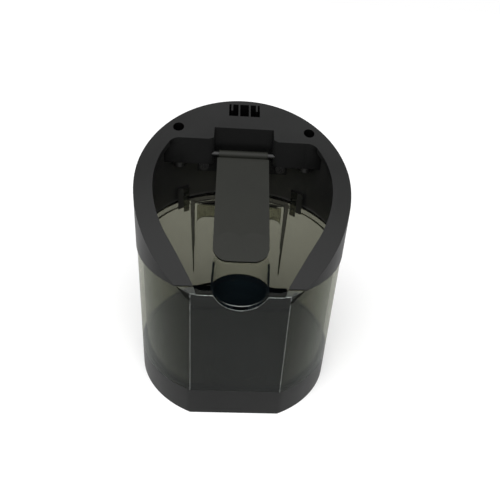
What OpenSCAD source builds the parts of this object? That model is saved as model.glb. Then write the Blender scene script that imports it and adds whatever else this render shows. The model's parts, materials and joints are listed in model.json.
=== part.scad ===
// Dirty water tank of a floor washer: a clear tub with a flat front, a base cap,
// a suction pipe, a slanted collar and a hinged flap over the pipe's mouth.
// The origin is on the ground at the middle of the round body; the flat front faces -Y.

/* [Tub] */
// Outer radius of the round body
body_r = 55; // [54:0.1:56]
// How far the flat front is cut back from the round
flat_in = 5.2; // [4.8:0.1:5.6]
// Thickness of the tub wall
wall = 2.6; // [2.2:0.1:2.8]
// Height of the base cap's band
base_h = 16; // [15:0.5:20]
// Height of the shoulder that the collar stands on, at the arms' ends
shoulder_z = 78; // [76:0.25:79]
// Slope of the shoulder, up to the rear, from the arms' ends
seam_slope = 3.2; // [2:0.2:4]
// Thickness of the shoulder plate
shoulder_t = 2.2; // [1.6:0.1:3]
// How far the ledges in front of the collar slope down
ledge_drop = 1.5; // [0.8:0.1:2]
// How far the front panel's top stays under the ledges
panel_drop = 0.6; // [0.3:0.1:0.8]
// Radius of the dip in the front panel's top edge
dip_r = 14.2; // [13.4:0.1:15]
// Height of the rim that stands on the shoulder
rim_h = 3; // [2:0.5:3.5]
// Distance of the shelf under the shoulder
shelf_drop = 10.2; // [9:0.1:12]
// Thickness of the shelf
shelf_t = 2; // [1.6:0.1:2.2]
// How far the shelf reaches in from the flat front
shelf_d = 20.3; // [18.8:0.5:21.8]
// Half the width of the shelf
shelf_x = 24; // [22:0.5:28]

/* [Back wall] */
// Distance of the inner face of each rib from the middle
rib_x = 28; // [27.5:0.25:29]
// Thickness of a rib at its top
rib_w = 2.6; // [2:0.1:3]
// How far a rib stands off the wall
rib_d = 3.2; // [2.6:0.1:4]
// Height of the lower tip of a rib
rib_tip_z = 31; // [28:1:40]
// Height of the step in a rib
rib_step_z = 50; // [46:1:56]
// Top of the arch under the plate that joins the ribs
arch_top_z = 71; // [68:0.5:73]
// Corner radius of that arch
arch_r = 7; // [5:0.5:10]
// Thickness of that plate and of the wall under it
arch_t = 1.5; // [1.2:0.1:2]

/* [Base] */
// Thickness of the base cap's skirt
skirt_t = 2.5; // [2:0.1:2.8]
// Thickness of the floor
floor_t = 2.6; // [2.2:0.1:3]
// How far the tub's lip reaches down into the base cap
tongue_h = 3; // [2:0.25:3.5]
// Thickness of that lip
tongue_t = 1.5; // [1.2:0.1:1.6]
// Height of the seal rings
seal_h = 0.9; // [0.8:0.05:1.1]
// Height of the socket for the pipe over the floor
socket_h = 4.5; // [3:0.25:6]

/* [Pipe] */
// Inner radius of the pipe
pipe_r = 11.4; // [11:0.1:11.4]
// Thickness of the pipe's wall
pipe_t = 1.5; // [1.2:0.1:1.5]
// Distance of the pipe's axis behind the flat front
pipe_in = 16.95; // [16.9:0.05:17.5]
// Inner radius of the mouth
mouth_r = 13.2; // [12.8:0.1:13.2]
// Thickness of the mouth ring
mouth_t = 1.6; // [1.3:0.1:1.6]
// Gap between the top of the guard behind the mouth and the flap over it
guard_gap = 0.8; // [0.5:0.1:2]
// Radius of the valve's dome
dome_r = 8; // [6.5:0.25:8.5]
// Height of the dome's top
dome_z = 25; // [23:0.5:27]

/* [Collar] */
// How far the collar stands out beyond the tub
collar_proud = 0.5; // [0.5:0.1:1]
// Height of the slanted top over the shoulder, at the middle
top_h = 36.2; // [35:0.2:39]
// Slant of the top
slant = 26; // [25.5:0.25:26.5]
// Where the top starts to bend down, ahead of the middle
bend_y = 8.2; // [6:0.2:10]
// Radius of that bend
bend_r = 190; // [186:1:200]
// Thickness of the collar's walls and top
collar_t = 2.4; // [2:0.1:2.6]
// Width of the collar's top round the opening
top_w = 9.5; // [9:0.25:10.5]
// Depth of the collar's rear plate behind the opening
rear_d = 29.9; // [29.5:0.1:31]
// Corner radius of that edge
open_corner = 6; // [4:0.25:8]
// Angle of the opening's diagonal sides to the depth direction
open_angle = 38.4; // [37:0.2:40]
// How far the arms' ends stay behind the flat front
arm_gap = 3.8; // [3.4:0.1:4.4]

/* [Hinge] */
// Half width of the hinge recess
recess_x = 16.5; // [16:0.1:17]
// Depth of the hinge recess behind the opening's edge
recess_d = 8.5; // [8:0.1:9]
// Height of the plate that hangs at the opening's rear edge
drop_h = 14.4; // [13.5:0.1:15.5]
// Distance of the hinge axis behind the opening's edge
hinge_back = 1.9; // [1.6:0.1:2.4]
// Depth of the hinge axis under the top
hinge_down = 9.8; // [9.4:0.1:10.4]
// Radius of the hinge pins
pin_r = 1.2; // [1:0.05:1.4]
// Radius of the flap's barrel
barrel_r = 2.2; // [2.1:0.05:2.5]
// Length of the flap's barrel
barrel_w = 27; // [26:0.1:27.5]

/* [Flap] */
// Width of the flap
flap_w = 28.7; // [28:0.1:29]
// Length of the flap from the hinge axis
flap_l = 65.5; // [64.5:0.1:66]
// Thickness of the flap
flap_t = 2; // [1.6:0.1:2.2]
// Slope of the flap at rest
flap_slope = 33.4; // [33:0.1:33.8]
// Length of the lip at the flap's end
lip_l = 13; // [11:0.25:15]
// How much the lip turns down
lip_bend = 4; // [2:0.5:5]
// Corner radius of the lip
lip_r = 8; // [6:0.25:9]

/* [Latch pocket and screws] */
// Half width of the latch pocket
pocket_x = 8.8; // [8.4:0.1:9.5]
// Front to back size of the latch pocket
pocket_d = 9; // [7:0.25:9.25]
// Depth of the latch pocket at its front edge
pocket_h = 10; // [8:0.5:11]
// Thickness of the fins in the pocket
fin_t = 1; // [0.8:0.05:1.2]
// Radius of a screw head
head_r = 2.7; // [2.4:0.05:2.8]
// Height of a screw head
head_h = 1.6; // [1.4:0.05:1.8]
// Radius of a screw's shank
screw_r = 1.25; // [1.1:0.05:1.35]
// Distance of each collar screw from the collar's outside
well_in = 6.3; // [6.2:0.05:6.5]
// Distance of each collar screw behind the opening's edge
well_back = 7.6; // [7.2:0.1:8]
// Radius of the collar's screw wells
well_r = 3; // [2.9:0.05:3.2]

/* [Hidden] */
$fn = 128;

smoke = [0.36, 0.37, 0.33, 0.5];
dark_plastic = [0.22, 0.23, 0.22];
black_rubber = [0.09, 0.09, 0.09];
steel = [0.16, 0.16, 0.17];

reach = 200;         // longer than any piece
eps = 0.05;          // overlap of shapes that are joined
play = 0.3;          // gap between pieces that slide together
seat = 0.15;         // radial gap round a seated pipe
snug = 0.02;         // radial gap of a pressed pin or a screw's thread
turn = 0.05;         // radial gap of the turning flap
lap = 0.2;           // radial gap between the rim and the collar's wall
near = 0.1;          // gap of a lip in its groove
squeeze = 0.05;      // gap left at a seal ring's face
graze = 0.03;        // how far tangent curves cross, so that they meet cleanly

// Tub
flat_y = body_r - flat_in;
shelf_y = flat_y - shelf_d;
collar_r = body_r + collar_proud;
in_r = body_r - wall;
in_flat = flat_y - wall;
rim_t = 2;
rim_out_r = collar_r - collar_t - lap;
rim_in_r = rim_out_r - rim_t;
seal_t = 1.2;
frame_h = rim_h + seal_t;
shelf_z = shoulder_z - shelf_drop;
dip_z = shelf_z + near + dip_r;
arms_y = flat_y - arm_gap;
ledge_in_x = 22.1;
ledge_out_x = 20.2;
ledge_back = 1.6;
rib_wall_y = sqrt(pow(in_r, 2) - pow(rib_x, 2));
rib_seam_z = seam_z(rib_wall_y);
rib_tip_w = 0.3;
rib_step = 0.3;
arch_x = rib_x - rib_tip_w;
arch_y = rib_wall_y - 0.7;
arch_plate_z = rib_seam_z - 3;

// Base, from the ground up
pipe_y = flat_y - pipe_in;
tongue_r = in_r + tongue_t;
tongue_y = in_flat + tongue_t;
tongue_z = base_h - tongue_h;
groove_z = tongue_z - seal_h - near;
band_t = wall + 2.4;
band_z = groove_z - 2;
pipe_out_r = pipe_r + pipe_t;
socket_r = pipe_out_r + seat;
socket_flat = in_flat - play;
tube_r = 13.5;
tube_wall = 1.65;
ledge_z = base_h - 4;
ledge_t = 1.5;
ledge_r = 9;
foot_z = ledge_z + seal_h + squeeze;
retainer_z = 2;
retainer_t = 2;
retainer_r = 12;
ear_r = 3.4;
ear_x = tube_r + tube_wall + ear_r + eps;
ear_hole_z = base_h - floor_t - 1;
ear_screw_l = ear_hole_z - retainer_z - 0.4;
clip_x = 20;
clip_w = 8;
clip_h = 6;
clip_in = 2.5;
clip_t = 2;
nozzle_r = retainer_r - 1;
nozzle_lip_h = 2.6;
nozzle_lip_t = 0.8;
sleeve_r = retainer_r + lap;
sleeve_top_h = 2;
valve_t = 1.5;

// Pipe
pipe_top_z = shelf_z - 2.2;
mouth_top_z = shelf_z + 0.5;
flare_low_z = 48;
flare_top_z = 58;
mouth_out_r = mouth_r + mouth_t;
mouth_flat = in_flat - seat;
guard_t = 1.1;
guard_lean = 0.9;
straight_l = flap_l - lip_l;

// Collar
top_z = shoulder_z + top_h;
open_r = collar_r - top_w;
open_y = collar_r - rear_d;
slant_z = top_z + bend_y * tan(slant);
bend_mid_y = bend_y + bend_r * sin(slant);
bend_mid_z = slant_z - bend_r * cos(slant);
corner_y = open_y - open_corner;
corner_x = sqrt(pow(open_r - open_corner, 2) - pow(corner_y, 2));
drop_z = line_z(open_y) - drop_h;
recess_y = open_y + recess_d;
recess_t = 2.2;
chamfer = 2.5;
hanger_x = 26;
hanger_h = 7.2;
hanger_z = drop_z - hanger_h;
pocket_wall = 1.6;
pocket_back = 3.1;
pocket_y = collar_r - pocket_back - pocket_d;
pocket_z = line_z(pocket_y) - pocket_h;
tab_gap = 0.4;
tab_w = 6;
tab_t = 2;
tab_step = 3;
tab_drop = 5.4;
tab_h = 6;
fin_x = 3;
short_fin_x = 7.1;
short_fin_l = 4.8;

// Screws
slot_w = 0.6;
slot_l = 2.6;
slot_d = 0.8;
well_y = open_y + well_back;
well_x = sqrt(pow(collar_r - well_in, 2) - pow(well_y, 2));
well_h = 6;
well_z = line_z(well_y) - well_h;
post_r = well_r + 1.2;
post_z = well_z - 2;
boss_r = 3.6;
boss_h = 14;
shank_l = 11;
frame_screw_x = 22;
frame_screw_z = hanger_z + 3.5;

// Hinge
hinge_y = open_y + hinge_back;
hinge_z = line_z(hinge_y) - hinge_down;
guard_z = flap_low_z(mouth_out_r - guard_lean - pipe_y) - guard_gap;
pin_in = 5;
stub_r = 1.7;

// Height of the sloped shoulder
function seam_z(y) = shoulder_z + (y + arms_y) * tan(seam_slope);

// Height of the straight part of the slanted top
function line_z(y) = top_z + y * tan(slant);

// Height of the flap's underside at rest
function flap_low_z(y) = hinge_z + (y - hinge_y) * tan(flap_slope) - flap_t / cos(flap_slope);

// Half width of the opening along its diagonal sides
function diagonal_x(y) = (open_r - graze + y * sin(open_angle)) / cos(open_angle);

// Circle with one side cut flat, the shape of the tub seen from above
module flat_round(r, flat) {
  intersection() {
    circle(r);
    translate([-reach / 2, -flat]) square(reach);
  }
}

// Ring between two round shapes that are both cut flat in front
module flat_ring(r, flat, t, z, h) {
  translate([0, 0, z]) linear_extrude(h) difference() {
    flat_round(r, flat);
    flat_round(r - t, flat - t);
  }
}

module ring(r_out, r_in, z, h) {
  translate([0, 0, z]) difference() {
    cylinder(r = r_out, h = h);
    translate([0, 0, -1]) cylinder(r = r_in, h = h + 2);
  }
}

// Bar with a side view drawn in Y and Z, as wide as the tank and more
module across() {
  rotate([90, 0, 90]) linear_extrude(reach, center = true) children();
}

// Both sides of something drawn on the right
module both() {
  children();
  mirror([1, 0, 0]) children();
}

// Everything under the slanted top, less a gap square to it
module under_top(gap) {
  y0 = bend_y + gap * sin(slant);
  z0 = slant_z - gap * cos(slant);
  across() {
    polygon([[y0, 0], [reach, 0], [reach, z0 + (reach - y0) * tan(slant)], [y0, z0]]);
    intersection() {
      translate([bend_mid_y, bend_mid_z]) circle(bend_r - gap, $fn = 360);
      translate([-reach, 0]) square([reach + y0 + eps, reach]);
    }
  }
}

// Everything between two heights over the sloped shoulder
module seam_slab(low, high) {
  across() polygon([
    [-reach, seam_z(-reach) + low], [reach, seam_z(reach) + low],
    [reach, seam_z(reach) + high], [-reach, seam_z(-reach) + high]
  ]);
}

// Everything under the slanted top and behind the arms' ends, less a gap
module collar_space(gap) {
  intersection() {
    under_top(gap);
    translate([-reach / 2, gap - arms_y, 0]) cube(reach);
  }
}

// Round block from a height over the shoulder up to the slanted top
module slanted_block(r, low, gap) {
  intersection() {
    cylinder(r = r, h = reach);
    collar_space(gap);
    seam_slab(low, reach);
  }
}

// Keeps what lies behind a flat plane in front
module behind(flat) {
  intersection() {
    children();
    translate([-reach / 2, -flat, 0]) cube(reach);
  }
}

// Rounded rectangle from its half width and two heights
module rounded(x, low, high, r) {
  translate([-x + r, low]) square([2 * (x - r), high - low]);
  translate([-x, low + r]) square([2 * x, high - low - 2 * r]);
  for (sx = [-1, 1], z = [low + r, high - r]) translate([sx * (x - r), z]) circle(r);
}

// Screw along +Z, with the underside of its head at the origin and its tip below
module screw(length) {
  color(steel) difference() {
    union() {
      cylinder(r = head_r, h = head_h);
      translate([0, 0, -length]) cylinder(r = screw_r, h = length + eps);
    }
    translate([0, 0, head_h - slot_d]) for (a = [0, 90]) rotate(a)
      translate([-slot_l / 2, -slot_w / 2, 0]) cube([slot_l, slot_w, slot_d + 1]);
  }
}

module tank_body() {
  color(smoke) difference() {
    union() {
      intersection() {
        union() {
          flat_ring(body_r, flat_y, wall, base_h, reach);
          both() guide_rib();
        }
        seam_slab(-reach, 0);
      }
      flat_ring(tongue_r, tongue_y, tongue_t, tongue_z, tongue_h + eps);
      shoulder_plate();
      intersection() {
        ring(rim_out_r, rim_in_r, shoulder_z - eps, reach);
        seam_slab(-eps, rim_h);
        collar_space(collar_t + play);
      }
      shelf();
      rib_arch();
    }
    ledge_slope(0);
    intersection() {
      ledge_slope(panel_drop);
      linear_extrude(reach) polygon([
        [-ledge_in_x, -arms_y], [ledge_in_x, -arms_y],
        [ledge_out_x, -flat_y - 1], [-ledge_out_x, -flat_y - 1]
      ]);
    }
    translate([0, -in_flat, dip_z]) rotate([90, 0, 0])
      translate([0, 0, -eps]) cylinder(r = dip_r, h = wall + 1);
  }
}

module shoulder_plate() {
  intersection() {
    linear_extrude(reach) union() {
      difference() {
        flat_round(body_r, flat_y);
        flat_round(rim_in_r, in_flat);
      }
      ledge_plan();
    }
    seam_slab(-shoulder_t, 0);
  }
}

// The two ledges seen from above; each reaches a little way under its arm
module ledge_plan() {
  intersection() {
    flat_round(body_r - eps, flat_y - eps);
    both() polygon([
      [ledge_in_x + ledge_back / 2, ledge_back - arms_y], [reach, ledge_back - arms_y],
      [reach, -reach], [ledge_out_x, -flat_y - 1], [ledge_in_x, -arms_y]
    ]);
  }
}

// The sloping tops of the ledges and of the front panel
module ledge_slope(drop) {
  slope = ledge_drop / (flat_y - arms_y);
  across() polygon([
    [-arms_y, shoulder_z - drop],
    [-flat_y - 1, shoulder_z - drop - slope * (flat_y + 1 - arms_y)],
    [-flat_y - 1, shoulder_z + 5], [-arms_y, shoulder_z + 5]
  ]);
}

// Shelf behind the front panel, with a hole that holds the mouth ring
module shelf() {
  translate([0, 0, shelf_z - shelf_t]) linear_extrude(shelf_t) difference() {
    intersection() {
      flat_round(in_r + eps, in_flat + eps);
      translate([-shelf_x, -reach - shelf_y]) square([2 * shelf_x, reach]);
    }
    translate([0, -pipe_y]) circle(mouth_out_r + seat);
  }
}

// Rib that tapers to its lower tip, with a step in its inner face
module guide_rib() {
  intersection() {
    cylinder(r = in_r + eps, h = reach);
    translate([rib_x, rib_wall_y - rib_d, 0]) rotate([90, 0, 0]) mirror([0, 0, 1])
      linear_extrude(rib_d + 3) polygon([
        [rib_step, rib_tip_z], [rib_step + rib_tip_w, rib_tip_z],
        [rib_w, rib_seam_z], [rib_w, reach], [0, reach], [0, rib_step_z], [rib_step, rib_step_z - 1]
      ]);
  }
}

// Plate between the ribs with a flat wall under it that ends in an arch
module rib_arch() {
  intersection() {
    cylinder(r = in_r + eps, h = reach);
    union() {
      translate([-rib_x - eps, arch_y, arch_plate_z - arch_t])
        cube([2 * (rib_x + eps), reach, arch_t]);
      translate([0, arch_y, 0]) rotate([90, 0, 0]) mirror([0, 0, 1]) linear_extrude(arch_t)
        difference() {
          translate([-rib_x - eps, rib_step_z]) square([2 * (rib_x + eps), arch_plate_z - rib_step_z]);
          rounded(arch_x, rib_tip_z, arch_top_z, arch_r);
        }
    }
  }
}

module base_cap() {
  color(dark_plastic) difference() {
    union() {
      flat_ring(body_r, flat_y, skirt_t, 0, base_h);
      flat_ring(body_r, flat_y, band_t, band_z, base_h - band_z);
      translate([0, 0, base_h - floor_t]) linear_extrude(floor_t)
        flat_round(body_r - skirt_t + eps, flat_y - skirt_t + eps);
      pipe_socket();
      both() {
        translate([ear_x, -pipe_y, retainer_z + retainer_t])
          cylinder(r = ear_r - 0.4, h = base_h - floor_t - retainer_z - retainer_t + eps);
        translate([clip_x - clip_w / 2, clip_in - in_flat, base_h - eps])
          cube([clip_w, clip_t, clip_h]);
      }
    }
    flat_ring(tongue_r + near, tongue_y + near, tongue_t + 2 * near, groove_z, reach);
    translate([0, -pipe_y, 0]) {
      translate([0, 0, ledge_z]) cylinder(r = socket_r, h = reach);
      cylinder(r = ledge_r, h = reach);
      cylinder(r = tube_r, h = ledge_z - ledge_t);
    }
    both() translate([ear_x, -pipe_y, 0]) cylinder(r = screw_r + snug, h = ear_hole_z);
  }
}

// Tube through the floor that holds the pipe above and the inlet seal below
module pipe_socket() {
  low_z = retainer_z + retainer_t;
  translate([0, -pipe_y, low_z]) cylinder(r = tube_r + tube_wall, h = base_h - low_z);
  behind(socket_flat) translate([0, -pipe_y, base_h - eps])
    cylinder(r = tube_r + tube_wall, h = socket_h + eps);
}

// Ring in the bottom of the base cap's groove, under the tub's lip
module base_seal() {
  color(black_rubber) flat_ring(tongue_r + near - squeeze, tongue_y + near - squeeze,
    tongue_t + 2 * (near - squeeze), groove_z, seal_h + squeeze);
}

module standpipe() {
  out_top_r = mouth_r + pipe_t;
  color(smoke) behind(mouth_flat) translate([0, -pipe_y, 0]) rotate_extrude() polygon([
    [pipe_r, foot_z], [pipe_out_r, foot_z], [pipe_out_r, flare_low_z],
    [out_top_r, flare_top_z], [out_top_r, pipe_top_z], [mouth_r, pipe_top_z],
    [mouth_r, flare_top_z], [pipe_r, flare_low_z]
  ]);
}

// Flat ring under the pipe's foot
module pipe_seal() {
  color(black_rubber) translate([0, -pipe_y, 0]) ring(pipe_out_r, pipe_r, ledge_z, seal_h);
}

// Ring on the pipe's top and the half round guard that leans in behind the mouth
module mouth_ring() {
  guard_h = guard_z - mouth_top_z;
  color(smoke) difference() {
    union() {
      behind(mouth_flat) translate([0, -pipe_y, 0])
        ring(mouth_out_r, mouth_r, pipe_top_z, mouth_top_z - pipe_top_z);
      behind(pipe_y) translate([0, -pipe_y, mouth_top_z - eps]) difference() {
        cylinder(r1 = mouth_out_r, r2 = mouth_out_r - guard_lean, h = guard_h);
        translate([0, 0, -eps]) cylinder(r1 = mouth_out_r - guard_t,
          r2 = mouth_out_r - guard_t - guard_lean, h = guard_h + 2 * eps);
      }
    }
    flap_room();
  }
}

// Room over the guard for the flap at rest; the guard's ends stand in front of it, clear of its rounded end
module flap_room() {
  translate([0, hinge_y, hinge_z]) rotate([flap_slope, 0, 0]) {
    translate([-reach / 2, -straight_l, -flap_t - play]) cube([reach, reach, reach / 4]);
    translate([0, -straight_l, 0]) rotate([lip_bend, 0, 0]) {
      translate([-reach / 2, 1 - lip_l, -flap_t - play]) cube([reach, lip_l, reach / 4]);
      translate([0, 0, -flap_t - play]) linear_extrude(reach / 4) lip(play);
    }
  }
}

module inlet_valve() {
  color(black_rubber) translate([0, -pipe_y, ledge_z]) {
    cylinder(r = pipe_r - near, h = valve_t);
    cylinder(r = dome_r, h = dome_z - dome_r / 2 - ledge_z);
    intersection() {
      translate([0, 0, dome_z - ledge_z - dome_r * 1.25]) sphere(r = dome_r * 1.25);
      translate([0, 0, dome_z - dome_r / 2 - ledge_z - eps]) cylinder(r = dome_r, h = dome_r);
    }
  }
}

// Lip ring that the machine's nozzle pushes into
module inlet_seal() {
  z0 = retainer_z + retainer_t;
  z1 = ledge_z - ledge_t;
  lip_z = z0 + nozzle_lip_h;
  color(black_rubber) translate([0, -pipe_y, 0]) rotate_extrude() polygon([
    [tube_r - squeeze, z0], [tube_r - squeeze, z1], [sleeve_r, z1], [sleeve_r, z1 - sleeve_top_h],
    [nozzle_r, lip_z], [nozzle_r + play, lip_z - nozzle_lip_t],
    [sleeve_r, lip_z - nozzle_lip_t - lap], [sleeve_r, z0]
  ]);
}

module inlet_retainer() {
  color(dark_plastic) behind(flat_y - skirt_t - play) translate([0, -pipe_y, retainer_z]) difference() {
    union() {
      cylinder(r = tube_r + tube_wall - play, h = retainer_t);
      both() translate([ear_x, 0, 0]) cylinder(r = ear_r, h = retainer_t);
      translate([-ear_x, -ear_r, 0]) cube([2 * ear_x, 2 * ear_r, retainer_t]);
    }
    translate([0, 0, -1]) cylinder(r = retainer_r, h = retainer_t + 2);
    both() translate([ear_x, 0, -1]) cylinder(r = screw_r + seat, h = retainer_t + 2);
  }
}

module retainer_screws() {
  both() translate([ear_x, -pipe_y, retainer_z]) rotate([180, 0, 0]) screw(ear_screw_l);
}

// Opening of the collar seen from above: round, with a straight rear edge and
// diagonal sides that leave the circle where they touch it
module opening() {
  side_r = open_r - graze;
  intersection() {
    circle(open_r);
    polygon([
      [0, 0], [3 * corner_x, 3 * corner_y], [3 * corner_x, -reach],
      [-3 * corner_x, -reach], [-3 * corner_x, 3 * corner_y]
    ]);
  }
  translate([-corner_x, -open_corner]) square([2 * corner_x, open_y + open_corner]);
  for (sx = [-1, 1]) translate([sx * corner_x, corner_y]) circle(open_corner + graze);
  polygon([
    [0, 0], [-side_r * cos(open_angle), -side_r * sin(open_angle)],
    [-diagonal_x(-body_r), -body_r], [diagonal_x(-body_r), -body_r],
    [side_r * cos(open_angle), -side_r * sin(open_angle)]
  ]);
}

// Plates and posts that hang under the collar's rear part
module collar_inside() {
  intersection() {
    slanted_block(collar_r - collar_t / 2, 0, collar_t / 2);
    union() {
      intersection() {
        cylinder(r = rim_in_r - play, h = reach);
        union() {
          translate([-body_r, open_y, drop_z]) cube([2 * body_r, collar_t, reach]);
          translate([-recess_x - recess_t, open_y, drop_z])
            cube([2 * (recess_x + recess_t), recess_d + recess_t, reach]);
          translate([-hanger_x, recess_y, hanger_z]) cube([2 * hanger_x, recess_t, reach]);
        }
      }
      both() translate([well_x, well_y, post_z]) cylinder(r = post_r, h = reach);
      translate([-pocket_x - pocket_wall, pocket_y - pocket_wall, pocket_z - pocket_wall])
        cube([2 * (pocket_x + pocket_wall), body_r, reach]);
    }
  }
}

module latch_pocket() {
  difference() {
    translate([-pocket_x, pocket_y, pocket_z]) cube([2 * pocket_x, pocket_d, reach]);
    both() {
      translate([fin_x - fin_t / 2, pocket_y - 1, pocket_z - 1])
        cube([fin_t, pocket_d + 2, reach]);
      translate([short_fin_x - fin_t / 2, pocket_y + pocket_d - short_fin_l, pocket_z - 1])
        cube([fin_t, short_fin_l + 1, reach]);
    }
  }
}

module collar() {
  color(dark_plastic) difference() {
    union() {
      difference() {
        slanted_block(collar_r, 0, 0);
        slanted_block(collar_r - collar_t, -1, collar_t);
      }
      collar_inside();
    }
    linear_extrude(reach) opening();
    translate([-recess_x, open_y - 1, drop_z - 1]) cube([2 * recess_x, recess_d + 1, reach]);
    translate([0, 0, drop_z - 1]) linear_extrude(reach) polygon([
      [-recess_x - chamfer, open_y - 1], [-recess_x - chamfer, open_y],
      [-recess_x, open_y + chamfer / 2], [recess_x, open_y + chamfer / 2],
      [recess_x + chamfer, open_y], [recess_x + chamfer, open_y - 1]
    ]);
    latch_pocket();
    both() {
      translate([well_x, well_y, well_z]) cylinder(r = well_r, h = reach);
      translate([well_x, well_y, post_z - 1]) cylinder(r = screw_r + seat, h = reach);
      translate([frame_screw_x, recess_y - 1, frame_screw_z]) rotate([-90, 0, 0])
        cylinder(r = screw_r + seat, h = recess_t + 2);
      translate([recess_x - 1, hinge_y, hinge_z]) rotate([0, 90, 0])
        cylinder(r = pin_r + snug, h = recess_t + 2);
    }
  }
}

module collar_seal() {
  color(black_rubber) intersection() {
    ring(rim_out_r, rim_in_r, shoulder_z, reach);
    seam_slab(rim_h, frame_h);
    collar_space(collar_t + play);
  }
}

module collar_screws() {
  both() translate([well_x, well_y, well_z]) screw(shank_l);
}

// Two steps of a tab that hangs beside each guide rib
module frame_tab() {
  tab_z = rib_seam_z - tab_drop;
  join_z = rib_seam_z + frame_h;
  tab_r = rim_in_r - tab_t;
  intersection() {
    union() {
      ring(rim_in_r - seat, tab_r, tab_z, join_z + tab_h - tab_z);
      ring(rim_in_r + eps, tab_r, join_z, tab_h);
    }
    translate([rib_x + rib_w + tab_gap, 0, tab_z]) {
      cube([tab_w / 2, body_r, reach]);
      translate([0, 0, tab_step]) cube([tab_w, body_r, reach]);
    }
  }
}

module inner_frame() {
  color(dark_plastic) difference() {
    union() {
      intersection() {
        ring(rim_out_r, rim_in_r, shoulder_z, reach);
        seam_slab(frame_h, reach);
        collar_space(collar_t + play);
      }
      both() {
        frame_tab();
        intersection() {
          translate([well_x, well_y, post_z - boss_h]) cylinder(r = boss_r, h = boss_h);
          cylinder(r = rim_out_r, h = reach);
        }
        intersection() {
          translate([frame_screw_x, recess_y + recess_t, frame_screw_z]) rotate([-90, 0, 0])
            cylinder(r = boss_r - 0.4, h = body_r);
          cylinder(r = rim_out_r - eps, h = reach);
        }
      }
    }
    both() {
      translate([well_x, well_y, post_z - shank_l]) cylinder(r = screw_r + snug, h = reach);
      translate([well_x, well_y, post_z]) cylinder(r = post_r + play, h = reach);
      translate([frame_screw_x, recess_y + recess_t - 1, frame_screw_z]) rotate([-90, 0, 0])
        cylinder(r = screw_r + snug, h = shank_l - recess_t);
    }
    translate([-pocket_x - pocket_wall - play, 0, pocket_z - pocket_wall - play])
      cube([2 * (pocket_x + pocket_wall + play), body_r, reach]);
  }
}

module frame_screws() {
  both() translate([frame_screw_x, recess_y, frame_screw_z]) rotate([90, 0, 0])
    screw(shank_l - 2);
}

// Rounded end of the flap, lying along -Y from the bend, made larger all round by grown
module lip(grown = 0) {
  translate([-flap_w / 2 - grown, lip_r - lip_l]) square([flap_w + 2 * grown, lip_l - lip_r + eps]);
  translate([lip_r - flap_w / 2, -lip_l - grown]) square([flap_w - 2 * lip_r, lip_l + grown]);
  for (sx = [-1, 1]) translate([sx * (flap_w / 2 - lip_r), lip_r - lip_l]) circle(lip_r + grown);
}

module flap() {
  color(dark_plastic) translate([0, hinge_y, hinge_z]) difference() {
    union() {
      rotate([0, 90, 0]) cylinder(r = barrel_r, h = barrel_w, center = true);
      rotate([flap_slope, 0, 0]) {
        translate([-flap_w / 2, -straight_l, -flap_t]) cube([flap_w, straight_l, flap_t]);
        translate([0, -straight_l, 0]) rotate([lip_bend, 0, 0])
          translate([0, 0, -flap_t]) linear_extrude(flap_t) lip();
      }
    }
    both() {
      translate([barrel_w / 2, 0, 0]) rotate([0, 90, 0])
        cylinder(r = barrel_r + play, h = flap_w);
      translate([barrel_w / 2 - pin_in - 0.5, 0, 0]) rotate([0, 90, 0])
        cylinder(r = pin_r + turn, h = flap_w);
    }
  }
}

// Stepped pins, pressed into the recess walls
module hinge_pins() {
  color(steel) both() translate([barrel_w / 2, hinge_y, hinge_z]) rotate([0, 90, 0]) {
    stub_l = recess_x - barrel_w / 2;
    translate([0, 0, -pin_in]) cylinder(r = pin_r, h = pin_in + stub_l + recess_t - 0.2);
    translate([0, 0, play]) cylinder(r = stub_r, h = stub_l - play);
  }
}

tank_body();
base_cap();
base_seal();
standpipe();
pipe_seal();
mouth_ring();
inlet_valve();
inlet_seal();
inlet_retainer();
retainer_screws();
collar();
collar_seal();
collar_screws();
inner_frame();
frame_screws();
flap();
hinge_pins();
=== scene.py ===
import bpy, json, math
import numpy as np
from mathutils import Matrix, Vector


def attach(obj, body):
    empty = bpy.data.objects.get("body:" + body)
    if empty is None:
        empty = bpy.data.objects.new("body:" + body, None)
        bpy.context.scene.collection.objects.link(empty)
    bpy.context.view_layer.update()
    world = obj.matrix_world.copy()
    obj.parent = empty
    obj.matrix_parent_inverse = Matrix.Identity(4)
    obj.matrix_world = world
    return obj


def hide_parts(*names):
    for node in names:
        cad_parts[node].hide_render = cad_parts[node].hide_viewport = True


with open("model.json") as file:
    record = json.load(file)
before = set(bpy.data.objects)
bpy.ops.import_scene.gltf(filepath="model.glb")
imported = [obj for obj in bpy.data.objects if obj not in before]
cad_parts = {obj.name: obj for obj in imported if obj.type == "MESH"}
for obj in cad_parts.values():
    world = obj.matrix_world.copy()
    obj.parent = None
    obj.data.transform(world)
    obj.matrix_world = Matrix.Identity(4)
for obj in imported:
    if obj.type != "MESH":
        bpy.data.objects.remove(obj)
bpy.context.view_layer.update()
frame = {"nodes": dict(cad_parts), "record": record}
mm = 0.001

cameraLook = {"place": (-0.008475, -0.230005, 0.201905), "forward": (0.05383, 0.87071, -0.48885),
              "rollDegrees": 4.0022, "lens": 34.284, "sensor": 36.0}


def aimCamera(look):
    ahead = Vector(look["forward"]).normalized()
    right = ahead.cross(Vector((0, 0, 1))).normalized()
    up = right.cross(ahead)
    roll = math.radians(look["rollDegrees"])
    side = right * math.cos(roll) + up * math.sin(roll)
    top = up * math.cos(roll) - right * math.sin(roll)
    camera = bpy.data.objects.new("camera", bpy.data.cameras.new("camera"))
    camera.data.lens, camera.data.sensor_width = look["lens"], look["sensor"]
    camera.data.clip_start, camera.data.clip_end = 0.01, 20
    turn = Matrix((side, top, -ahead)).transposed()
    camera.matrix_world = Matrix.Translation(Vector(look["place"])) @ turn.to_4x4()
    bpy.context.scene.collection.objects.link(camera)
    bpy.context.scene.camera = camera


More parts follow.
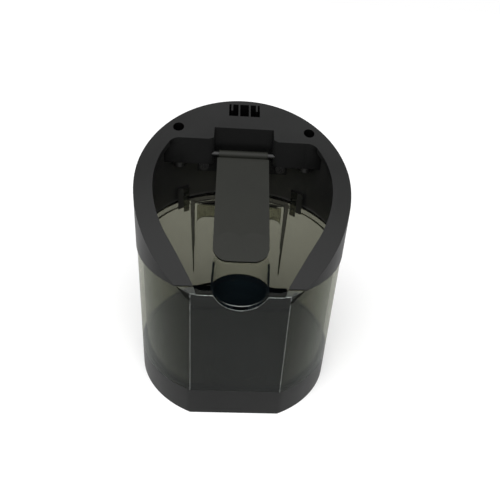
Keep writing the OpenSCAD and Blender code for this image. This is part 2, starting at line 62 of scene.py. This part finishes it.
aimCamera(cameraLook)
bpy.context.scene.view_settings.view_transform = "Standard"
print("camera placed")


class Wire:
    # one output of a material's nodes; the operators on it add Math nodes
    def __init__(self, graph, socket):
        self.graph, self.socket = graph, socket

    def __add__(self, other): return self.graph.math("ADD", self, other)
    def __radd__(self, other): return self.graph.math("ADD", other, self)
    def __sub__(self, other): return self.graph.math("SUBTRACT", self, other)
    def __rsub__(self, other): return self.graph.math("SUBTRACT", other, self)
    def __mul__(self, other): return self.graph.math("MULTIPLY", self, other)
    def __rmul__(self, other): return self.graph.math("MULTIPLY", other, self)
    def __pow__(self, other): return self.graph.math("POWER", self, other)


class Graph:
    # a material's or the world's nodes
    def __init__(self, owner):
        owner.use_nodes = True
        self.owner, self.tree = owner, owner.node_tree
        self.tree.nodes.clear()

    def add(self, kind, settings=None, sockets=None, out=0):
        made = self.tree.nodes.new("ShaderNode" + kind)
        for name, value in (settings or {}).items():
            if name == "stops":
                bar = made.color_ramp.elements
                while len(bar) < len(value):
                    bar.new(0.5)
                for stop, (place, shade) in zip(bar, value):
                    stop.position = place
                    stop.color = (shade, shade, shade, 1)
            else:
                setattr(made, name, value)
        for name, value in (sockets or {}).items():
            if isinstance(value, Wire):
                self.tree.links.new(value.socket, made.inputs[name])
            else:
                made.inputs[name].default_value = value
        return Wire(self, made.outputs[out]) if len(made.outputs) else made

    def math(self, operation, first, second):
        return self.add("Math", {"operation": operation}, {0: first, 1: second})

    def mixColours(self, factor, first, second):
        return self.add("Mix", {"data_type": "RGBA"}, {0: factor, 6: first, 7: second}, out=2)

    def noise(self, size, detail=3, rough=0.55, stretch=(1, 1, 1)):
        # cloudy noise with lumps of a size in metres
        spot = self.add("TexCoord", out=3)
        spot = self.add("Mapping", None, {0: spot, 3: stretch})
        return self.add("TexNoise", None, {"Vector": spot, "Scale": 1 / size, "Detail": detail, "Roughness": rough})

    def spot(self, axis):
        return self.add("SeparateXYZ", None, {0: self.add("TexCoord", out=3)}, out="XYZ".index(axis))

    def ramp(self, wire, low, high):
        # 0 to 1, smoothly, as the value goes from low to high
        return self.add("MapRange", {"interpolation_type": "SMOOTHSTEP"}, {"Value": wire, "From Min": low, "From Max": high})

    def bands(self, wire, *stops):
        return self.add("ValToRGB", {"stops": stops}, {0: wire})

    def finish(self, shader, kind="Material"):
        self.add("Output" + kind, None, {"Surface": shader})
        return self.owner


def newGraph(name):
    return Graph(bpy.data.materials.new(name))


def grey(level, warm=0.0):
    return (level * (1 + warm), level, level * (1 - warm), 1)


mouldedLook = {"shade": 0.005, "scuffed": 0.012, "gloss": 0.42, "specular": 0.145, "grain": 0.00022, "depth": 0.00002}
# a darker, less shiny copy of the moulded plastic: painted shade on the collar's faces that look forward into the
# opening and on its undersides
inwardShadeLook = {"shade": 0.003, "scuffed": 0.007, "gloss": 0.3, "specular": 0.06, "grain": 0.0003, "depth": 0.00001}
flapLook = dict(mouldedLook, shade=0.01, scuffed=0.018, specular=0.125)
baseLook = dict(mouldedLook, specular=0.18)
skirtLook = dict(mouldedLook, specular=0.36)
# darker still: painted shade in the latch pocket and the screw wells
hollowShadeLook = dict(inwardShadeLook, shade=0.001, scuffed=0.002, specular=0.015)


def mouldedPlastic(name, look, tint=(0.97, 1.0, 0.98)):
    g = newGraph(name)
    cloud = g.bands(g.noise(0.021, 5), (0.35, 0), (0.72, 1))
    speckle = g.bands(g.noise(0.0006, 2), (0.45, 0), (0.75, 1))
    dark = tuple(look["shade"] * c for c in tint) + (1,)
    pale = tuple(look["scuffed"] * c for c in tint) + (1,)
    colour = g.mixColours(cloud * 0.35 + speckle * 0.25, dark, pale)
    grain = g.noise(look["grain"], 2)
    bump = g.add("Bump", None, {"Strength": 0.5, "Distance": look["depth"], "Height": grain})
    shader = g.add("BsdfPrincipled", None, {
        "Base Color": colour, "Roughness": look["gloss"] + cloud * 0.08,
        "Specular IOR Level": look["specular"], "Normal": bump})
    return g.finish(shader)


smokeLook = {"shade": (0.006, 0.0063, 0.0055), "through": (0.95, 0.95, 0.84), "haze": 0.34, "rearShadeHaze": 0.26, "topHaze": 0.2,
             "lineHaze": 0.6, "edgeHaze": 0.2, "mirror": 0.012, "edgeMirror": 0.3, "gloss": 0.03, "shine": (0.88, 0.93, 0.9)}
thickLook = dict(smokeLook, haze=0.93, rearShadeHaze=0.0, topHaze=0.0, lineHaze=0.0, shade=(0.003, 0.003, 0.003), mirror=0.005, edgeMirror=0.1)
paleLook = dict(smokeLook, haze=0.0, rearShadeHaze=0.0, topHaze=0.0, through=(0.99, 0.99, 0.965))
blackLook = dict(thickLook, haze=0.97, shade=(0.0035, 0.0052, 0.0065), mirror=0.018, edgeMirror=0.3)
# clearer and with a strong mirror: painted highlight, bright lines on the front's corners, its top edge and the mouth
# ring's edges
cornerHighlightLook = dict(smokeLook, haze=0.2, rearShadeHaze=0.0, topHaze=0.0, mirror=0.5)
# the mouth lip keeps a raised mirror too: painted highlight along the mouth's front edge
lipHighlightLook = dict(cornerHighlightLook, haze=0.8, mirror=0.11)
archLook = dict(smokeLook, haze=0.0, rearShadeHaze=0.0)
# a little hazier, darker than the wall round it: painted shade on the upright face inside the shoulder
bandShadeLook = dict(smokeLook, haze=0.42)
tabLook = dict(smokeLook, haze=0.4)
panelLook = dict(smokeLook, haze=0.62, topHaze=0.3, shade=(0.009, 0.0095, 0.0095))
ledgeLook = dict(smokeLook, haze=0.2, rearShadeHaze=0.0, mirror=0.07, topHaze=0.0, lineHaze=0.0)
# the shelf beside the mouth: nearly black and with almost no mirror, painted shade
deckShadeLook = dict(thickLook, haze=0.99, mirror=0.001, edgeMirror=0.02, shade=(0.0007, 0.001, 0.0012))
pipeLook = dict(smokeLook, haze=0.9, shade=(0.004, 0.0068, 0.0085), mirror=0.004, edgeMirror=0.12)


def smokePlastic(name, look):
    # each skin of a wall lets part of the light straight through and mirrors some; more at a glancing angle
    g = newGraph(name)
    drift = g.bands(g.noise(0.03, 4), (0.3, 0), (0.8, 1))
    facing = g.add("LayerWeight", None, {"Blend": 0.5}, out=1)
    deep = look["shade"] + (1,)
    pale = tuple(c * 1.5 for c in look["shade"]) + (1,)
    bump = g.add("Bump", None, {"Strength": 0.1, "Distance": 0.00005, "Height": g.noise(0.012, 2)})
    body = g.add("BsdfPrincipled", None, {
        "Base Color": g.mixColours(drift, deep, pale), "Roughness": 0.5 + drift * 0.1, "Specular IOR Level": 0.0})
    clear = g.add("BsdfTransparent", None, {"Color": look["through"] + (1,)})
    # the back half of each wall gets more haze and reads darker: painted shade
    rearShade = g.ramp(g.spot("Y"), -0.02, 0.03)
    # the solid plastic behind the top edge, and the black line where a ledge's end meets the wall: it lies where
    # z = 0.86 |x| + 53 mm, out to the two sides of the flat front
    front = g.ramp(g.spot("Y"), -0.043, -0.0455) * g.ramp(g.spot("Z"), 0.0725, 0.0745)
    outward = (g.spot("X") ** 2) ** 0.5
    away = (g.spot("Z") - outward * 0.86 - 0.053) ** 2
    line = g.ramp(away, 0.0000016, 0.0000009) * g.ramp(outward, 0.0229, 0.0235) * g.ramp(g.spot("Y"), -0.0445, -0.0455)
    haze = (look["haze"] + rearShade * look["rearShadeHaze"] + front * look["topHaze"] + line * look["lineHaze"]
            + facing ** 3 * look["edgeHaze"])
    inside = g.add("MixShader", None, {0: haze, 1: clear, 2: body})
    skin = g.add("BsdfPrincipled", None, {
        "Base Color": look["shine"] + (1,), "Metallic": 1.0, "Roughness": look["gloss"] + drift * 0.02, "Normal": bump})
    mirrored = (look["mirror"] + facing ** 3.5 * look["edgeMirror"]) * (1 - line * look["lineHaze"] * 1.6)
    return g.finish(g.add("MixShader", None, {0: mirrored, 1: inside, 2: skin}))


def rubber(name):
    g = newGraph(name)
    dust = g.bands(g.noise(0.004, 4), (0.45, 0), (0.8, 1))
    bump = g.add("Bump", None, {"Strength": 0.4, "Distance": 0.00003, "Height": g.noise(0.0003, 2)})
    shader = g.add("BsdfPrincipled", None, {
        "Base Color": g.mixColours(dust, grey(0.012), grey(0.03)), "Roughness": 0.6 + dust * 0.15, "Normal": bump})
    return g.finish(shader)


def screwSteel(name):
    g = newGraph(name)
    brushed = g.noise(0.0002, 3, stretch=(1, 1, 12))
    bump = g.add("Bump", None, {"Strength": 0.2, "Distance": 0.00002, "Height": brushed})
    shader = g.add("BsdfPrincipled", None, {
        "Base Color": g.mixColours(brushed, grey(0.012), grey(0.03)), "Metallic": 1.0,
        "Roughness": 0.24 + brushed * 0.14, "Normal": bump})
    return g.finish(shader)


plastic = mouldedPlastic("moulded plastic", mouldedLook)
inwardShade = mouldedPlastic("inward plastic", inwardShadeLook)
hollowShade = mouldedPlastic("hollow plastic", hollowShadeLook)
flapPlastic = mouldedPlastic("flap plastic", flapLook, tint=(0.95, 1.0, 0.8))
basePlastic = mouldedPlastic("base plastic", baseLook)
skirtPlastic = mouldedPlastic("skirt plastic", skirtLook)
smoke = smokePlastic("smoke plastic", smokeLook)
smokeThick = smokePlastic("thick smoke plastic", thickLook)
smokePale = smokePlastic("pale smoke plastic", paleLook)
smokeBlack = smokePlastic("black smoke plastic", blackLook)
smokeCornerHighlight = smokePlastic("smoke plastic corners", cornerHighlightLook)
smokeLip = smokePlastic("smoke plastic lip", lipHighlightLook)
smokeDeckShade = smokePlastic("smoke plastic shelf", deckShadeLook)
smokePanel = smokePlastic("smoke plastic panel", panelLook)
smokeArch = smokePlastic("smoke plastic arch", archLook)
smokeBandShade = smokePlastic("smoke plastic band", bandShadeLook)
smokeTab = smokePlastic("smoke plastic tabs", tabLook)
smokeLedge = smokePlastic("smoke plastic ledges", ledgeLook)
smokePipe = smokePlastic("smoke plastic pipe", pipeLook)
rubberBlack = rubber("black rubber")
steel = screwSteel("screw steel")
print("materials made")

finishes = {"smoke_clear": smoke, "dark_plastic": plastic, "seal_rubber": rubberBlack, "screw_steel": steel}
for part in frame["record"]["subparts"]:
    mesh = frame["nodes"][part["node"]].data
    mesh.materials.clear()
    mesh.materials.append(finishes[part["material_slot"]])


def roundedCopy(node, name, body, width, sharpest=32, segments=2, corner=None, holed=False):
    # the node's own surface with its loose triangles joined and its edges rounded
    piece = frame["nodes"][node].copy()
    piece.data = frame["nodes"][node].data.copy()
    piece.name = name
    for key in list(piece.keys()):
        del piece[key]
    bpy.context.scene.collection.objects.link(piece)
    piece.parent = None
    bpy.context.view_layer.objects.active = piece
    bpy.ops.object.select_all(action="DESELECT")
    piece.select_set(True)
    bpy.ops.object.mode_set(mode="EDIT")
    bpy.ops.mesh.select_all(action="SELECT")
    bpy.ops.mesh.customdata_custom_splitnormals_clear()
    bpy.ops.mesh.remove_doubles(threshold=0.000005)
    bpy.ops.mesh.dissolve_limited(angle_limit=math.radians(0.3))
    if holed:  # so that no face goes all the way round a hole
        bpy.ops.mesh.select_all(action="SELECT")
        bpy.ops.mesh.quads_convert_to_tris(quad_method="BEAUTY", ngon_method="BEAUTY")
    bpy.ops.object.mode_set(mode="OBJECT")
    bpy.ops.object.shade_smooth_by_angle(angle=math.radians(sharpest + 2))
    edge = piece.modifiers.new("rounded edges", "BEVEL")
    edge.width, edge.segments = width, segments
    edge.limit_method, edge.angle_limit = "ANGLE", math.radians(sharpest)
    edge.use_clamp_overlap = True
    edge.harden_normals = True
    if corner:
        piece.data.materials.append(corner)
        edge.material = 1
    bpy.ops.object.modifier_apply(modifier=edge.name)
    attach(piece, body)
    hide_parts(node)
    return piece


def paintFaces(piece, material, chooses):
    # gives a material to the faces that a test on their centres, in mm, their normals and their slots picks
    mesh = piece.data
    count = len(mesh.polygons)
    centre, normal, slots = np.empty(count * 3), np.empty(count * 3), np.empty(count, dtype=np.int32)
    mesh.polygons.foreach_get("center", centre)
    mesh.polygons.foreach_get("normal", normal)
    mesh.polygons.foreach_get("material_index", slots)
    picked = chooses(centre.reshape(-1, 3).T / mm, normal.reshape(-1, 3).T, slots)
    if material.name not in mesh.materials:
        mesh.materials.append(material)
    slots[picked] = mesh.materials.find(material.name)
    mesh.polygons.foreach_set("material_index", slots)
    print(piece.name, material.name, int(picked.sum()), "faces")


# picks the collar faces that get the painted shade: forward-looking faces round the opening, and undersides
def facesInward(centre, normal, slots):
    x, y, z = centre
    wall = (normal[1] < -0.5) & (np.abs(x) < 47) & (y > 20)
    return wall | (normal[2] < -0.5)


# the latch pocket and the screw wells, which get painted shade
def isHollow(centre, normal, slots):
    x, y, z = centre
    pocket = (np.abs(x) < 8.95) & (y > 43.2) & (y < 52.6) & (np.abs(normal[2]) < 0.7) | (np.abs(z - 125.37) < 0.5) & (np.abs(x) < 9)
    well = np.hypot(np.abs(x) - 36.3, y - 33.2) < 3.1
    return (pocket & (y > 43) & (y < 53)) | well


# the shelf's top beside the mouth, which gets the painted shade
def isDeck(centre, normal, slots):
    x, y, z = centre
    return (y < -29) & (z > 64) & (z < 68.2) & (normal[2] > 0.5) & ~isCorner(centre, normal, slots)


def isThick(centre, normal, slots):
    x, y, z = centre
    inside = np.hypot(x, y) < 52.2
    deck = (y < -29) & (z > 64) & (z < 68.2)
    rib = (y > 30) & (np.abs(x) > 27) & (np.abs(x) < 31) & inside
    plate = (y > 40) & (np.abs(x) < 30) & (z > 75) & inside
    return (deck | rib | plate) & ~isCorner(centre, normal, slots)


def isArch(centre, normal, slots):
    # the rear face of the flat wall between the ribs
    x, y, z = centre
    return (y > 44.6) & (y < 45.4) & (np.abs(x) < 27.9) & (z > 50) & (normal[1] > 0.9)


def isBand(centre, normal, slots):
    # the upright face inside the shoulder and the rim
    x, y, z = centre
    return (np.abs(np.hypot(x, y) - 50.9) < 0.3) & (y > 0) & (z > 78) & (np.abs(x) > 30) & (np.abs(normal[2]) < 0.5)


def isTab(centre, normal, slots):
    x, y, z = centre
    return (np.abs(x) > 30.5) & (np.abs(x) < 37.3) & (y > 35) & (y < 42) & (z < 90)


def isPanel(centre, normal, slots):
    x, y, z = centre
    return (y < -44) & (np.abs(x) < 23) & (np.abs(normal[1]) > 0.8) & (slots == 0)


def isLedge(centre, normal, slots):
    x, y, z = centre
    return (y < -44) & (z > 75) & (np.abs(x) > 19.4) & (normal[2] > 0.8) & (slots == 0)


def isBlackEdge(centre, normal, slots):
    # the surface of the dip and the outer edges of the ledges, where one looks along the wall's thickness
    x, y, z = centre
    dip = (np.abs(np.hypot(x, z - 82.1) - 14.2) < 0.25) & (np.abs(normal[1]) < 0.3) & (y < -46)
    outer = (y < -44) & (y > -49.6) & (z > 75) & (np.abs(x) > 23.4) & (np.hypot(x, y) > 54) & (slots == 1)
    return dip | outer


def isCorner(centre, normal, slots):
    # the front's upright corners and its top edge, which keep the painted highlight
    x, y, z = centre
    upright = (np.abs(np.abs(x) - 23.3) < 1.2) & (y < -48) & (z < 78)
    top = (np.abs(x) < 23.4) & (y < -49) & (z > 66)
    return (slots == 1) & (upright | top)


def isPlainEdge(centre, normal, slots):
    return (slots == 1) & ~isCorner(centre, normal, slots)


def isGuard(centre, normal, slots):
    return (centre[2] > 69) & ((slots == 0) | (centre[2] > 73))


def isGuardEnd(centre, normal, slots):
    x, y, z = centre
    return (z > 69) & (normal[1] < -0.5) & (np.abs(x) > 12.4)


collarShell = roundedCopy("collar", "collarShell", "tank", 0.45 * mm)
paintFaces(collarShell, inwardShade, facesInward)
paintFaces(collarShell, hollowShade, isHollow)
baseBand = roundedCopy("base_cap", "baseBand", "tank", 0.4 * mm)
baseBand.data.materials[0] = basePlastic
innerSkirt = roundedCopy("inner_frame", "innerSkirt", "tank", 0.25 * mm)
innerSkirt.data.materials[0] = skirtPlastic
paintFaces(innerSkirt, smokeTab, isTab)
frame["nodes"]["standpipe"].data.materials[0] = smokePipe
flapTongue = roundedCopy("flap", "flapTongue", "flap", 0.4 * mm)
flapTongue.data.materials[0] = flapPlastic
tubWall = roundedCopy("tank_body", "tubWall", "tank", 0.35 * mm, sharpest=21, corner=smokeCornerHighlight)
paintFaces(tubWall, smokeBlack, isBlackEdge)
paintFaces(tubWall, smoke, isPlainEdge)
paintFaces(tubWall, smokeArch, isArch)
paintFaces(tubWall, smokeBandShade, isBand)
paintFaces(tubWall, smokePanel, isPanel)
paintFaces(tubWall, smokeLedge, isLedge)
paintFaces(tubWall, smokeThick, isThick)
paintFaces(tubWall, smokeDeckShade, isDeck)
mouthRing = roundedCopy("mouth_ring", "mouthRing", "tank", 0.3 * mm, sharpest=25,
                        corner=smokeCornerHighlight, holed=True)
paintFaces(mouthRing, smokeBlack, lambda centre, normal, slots: (centre[2] < 69) & (slots == 0))
paintFaces(mouthRing, smokePale, isGuard)
paintFaces(mouthRing, smokeBlack, isGuardEnd)
print("pieces rounded")

lipLook = {"middle": (0, -32.85), "radius": 14.0, "height": 68.2, "thick": 0.35, "turn": 172, "steps": 96, "sides": 12}


def mouthLip(look):
    # bead on the mouth's front edge: at angle a along the arc its ring of points lies at b round the bead's middle,
    # radius R + t cos b from the pipe's axis and height h + t sin b, where t falls to nothing at the arc's two ends
    a = np.linspace(-0.5, 0.5, look["steps"])[:, None]
    b = np.linspace(0, 2 * np.pi, look["sides"], endpoint=False)[None, :]
    t = look["thick"] * np.sqrt(np.clip(1 - (2 * a) ** 12, 0, 1))
    angle = np.radians(look["turn"]) * a - np.pi / 2
    reach = look["radius"] + t * np.cos(b)
    points = np.stack([look["middle"][0] + reach * np.cos(angle), look["middle"][1] + reach * np.sin(angle),
                       look["height"] + t * np.sin(b) + 0 * a], -1).reshape(-1, 3) * mm
    rows, columns = np.meshgrid(np.arange(look["steps"] - 1), np.arange(look["sides"]), indexing="ij")
    after = (columns + 1) % look["sides"]
    here, there = rows * look["sides"], (rows + 1) * look["sides"]
    faces = np.stack([here + columns, here + after, there + after, there + columns], -1).reshape(-1, 4)
    mesh = bpy.data.meshes.new("mouthLip")
    mesh.from_pydata(points.tolist(), [], faces.tolist())
    lip = bpy.data.objects.new("mouthLip", mesh)
    bpy.context.scene.collection.objects.link(lip)
    joinAndFaceOut(lip)
    mesh.materials.append(smokeLip)
    mesh.shade_smooth()
    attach(lip, "tank")


def joinAndFaceOut(piece):
    bpy.context.view_layer.objects.active = piece
    bpy.ops.object.select_all(action="DESELECT")
    piece.select_set(True)
    bpy.ops.object.mode_set(mode="EDIT")
    bpy.ops.mesh.select_all(action="SELECT")
    bpy.ops.mesh.remove_doubles(threshold=0.000001)
    bpy.ops.mesh.normals_make_consistent(inside=False)
    bpy.ops.object.mode_set(mode="OBJECT")


mouthLip(lipLook)
print("mouth lip made")


stageLook = {"floorShade": 0.9, "floorGlow": 0.1, "skyLevel": 0.2, "keyLevel": 3.9, "keySpread": 80,
             "keyHeight": 52, "keySide": -8}


def paleStage(look):
    # a white floor and sky that camera, mirrored and refracted rays see as white, and one soft key lamp
    g = newGraph("pale floor")
    matte = g.add("BsdfDiffuse", None, {"Color": grey(look["floorShade"])})
    glow = g.add("Emission", None, {"Color": grey(1.0), "Strength": whiteRays(g) * look["floorGlow"]})
    material = g.finish(g.add("AddShader", None, {0: matte, 1: glow}))
    floor = bpy.data.objects.new("floor", bpy.data.meshes.new("floor"))
    floor.data.from_pydata([(-8, -8, 0), (8, -8, 0), (8, 8, 0), (-8, 8, 0)], [], [(0, 1, 2, 3)])
    floor.data.materials.append(material)
    bpy.context.scene.collection.objects.link(floor)
    world = bpy.data.worlds.new("studio")
    bpy.context.scene.world = world
    g = Graph(world)
    level = look["skyLevel"] + whiteRays(g) * (1 - look["skyLevel"])
    g.finish(g.add("Background", None, {"Color": grey(1.0), "Strength": level}), "World")
    key = bpy.data.objects.new("key", bpy.data.lights.new("key", "SUN"))
    key.data.energy, key.data.angle = look["keyLevel"], math.radians(look["keySpread"])
    key.rotation_euler = (math.radians(90 - look["keyHeight"]), 0, math.radians(look["keySide"]))
    bpy.context.scene.collection.objects.link(key)


def whiteRays(g):
    rays = [g.add("LightPath", out=index) for index in (0, 3, 6)]
    return g.math("MAXIMUM", g.math("MAXIMUM", rays[0], rays[1]), rays[2])


paleStage(stageLook)
print("stage set")
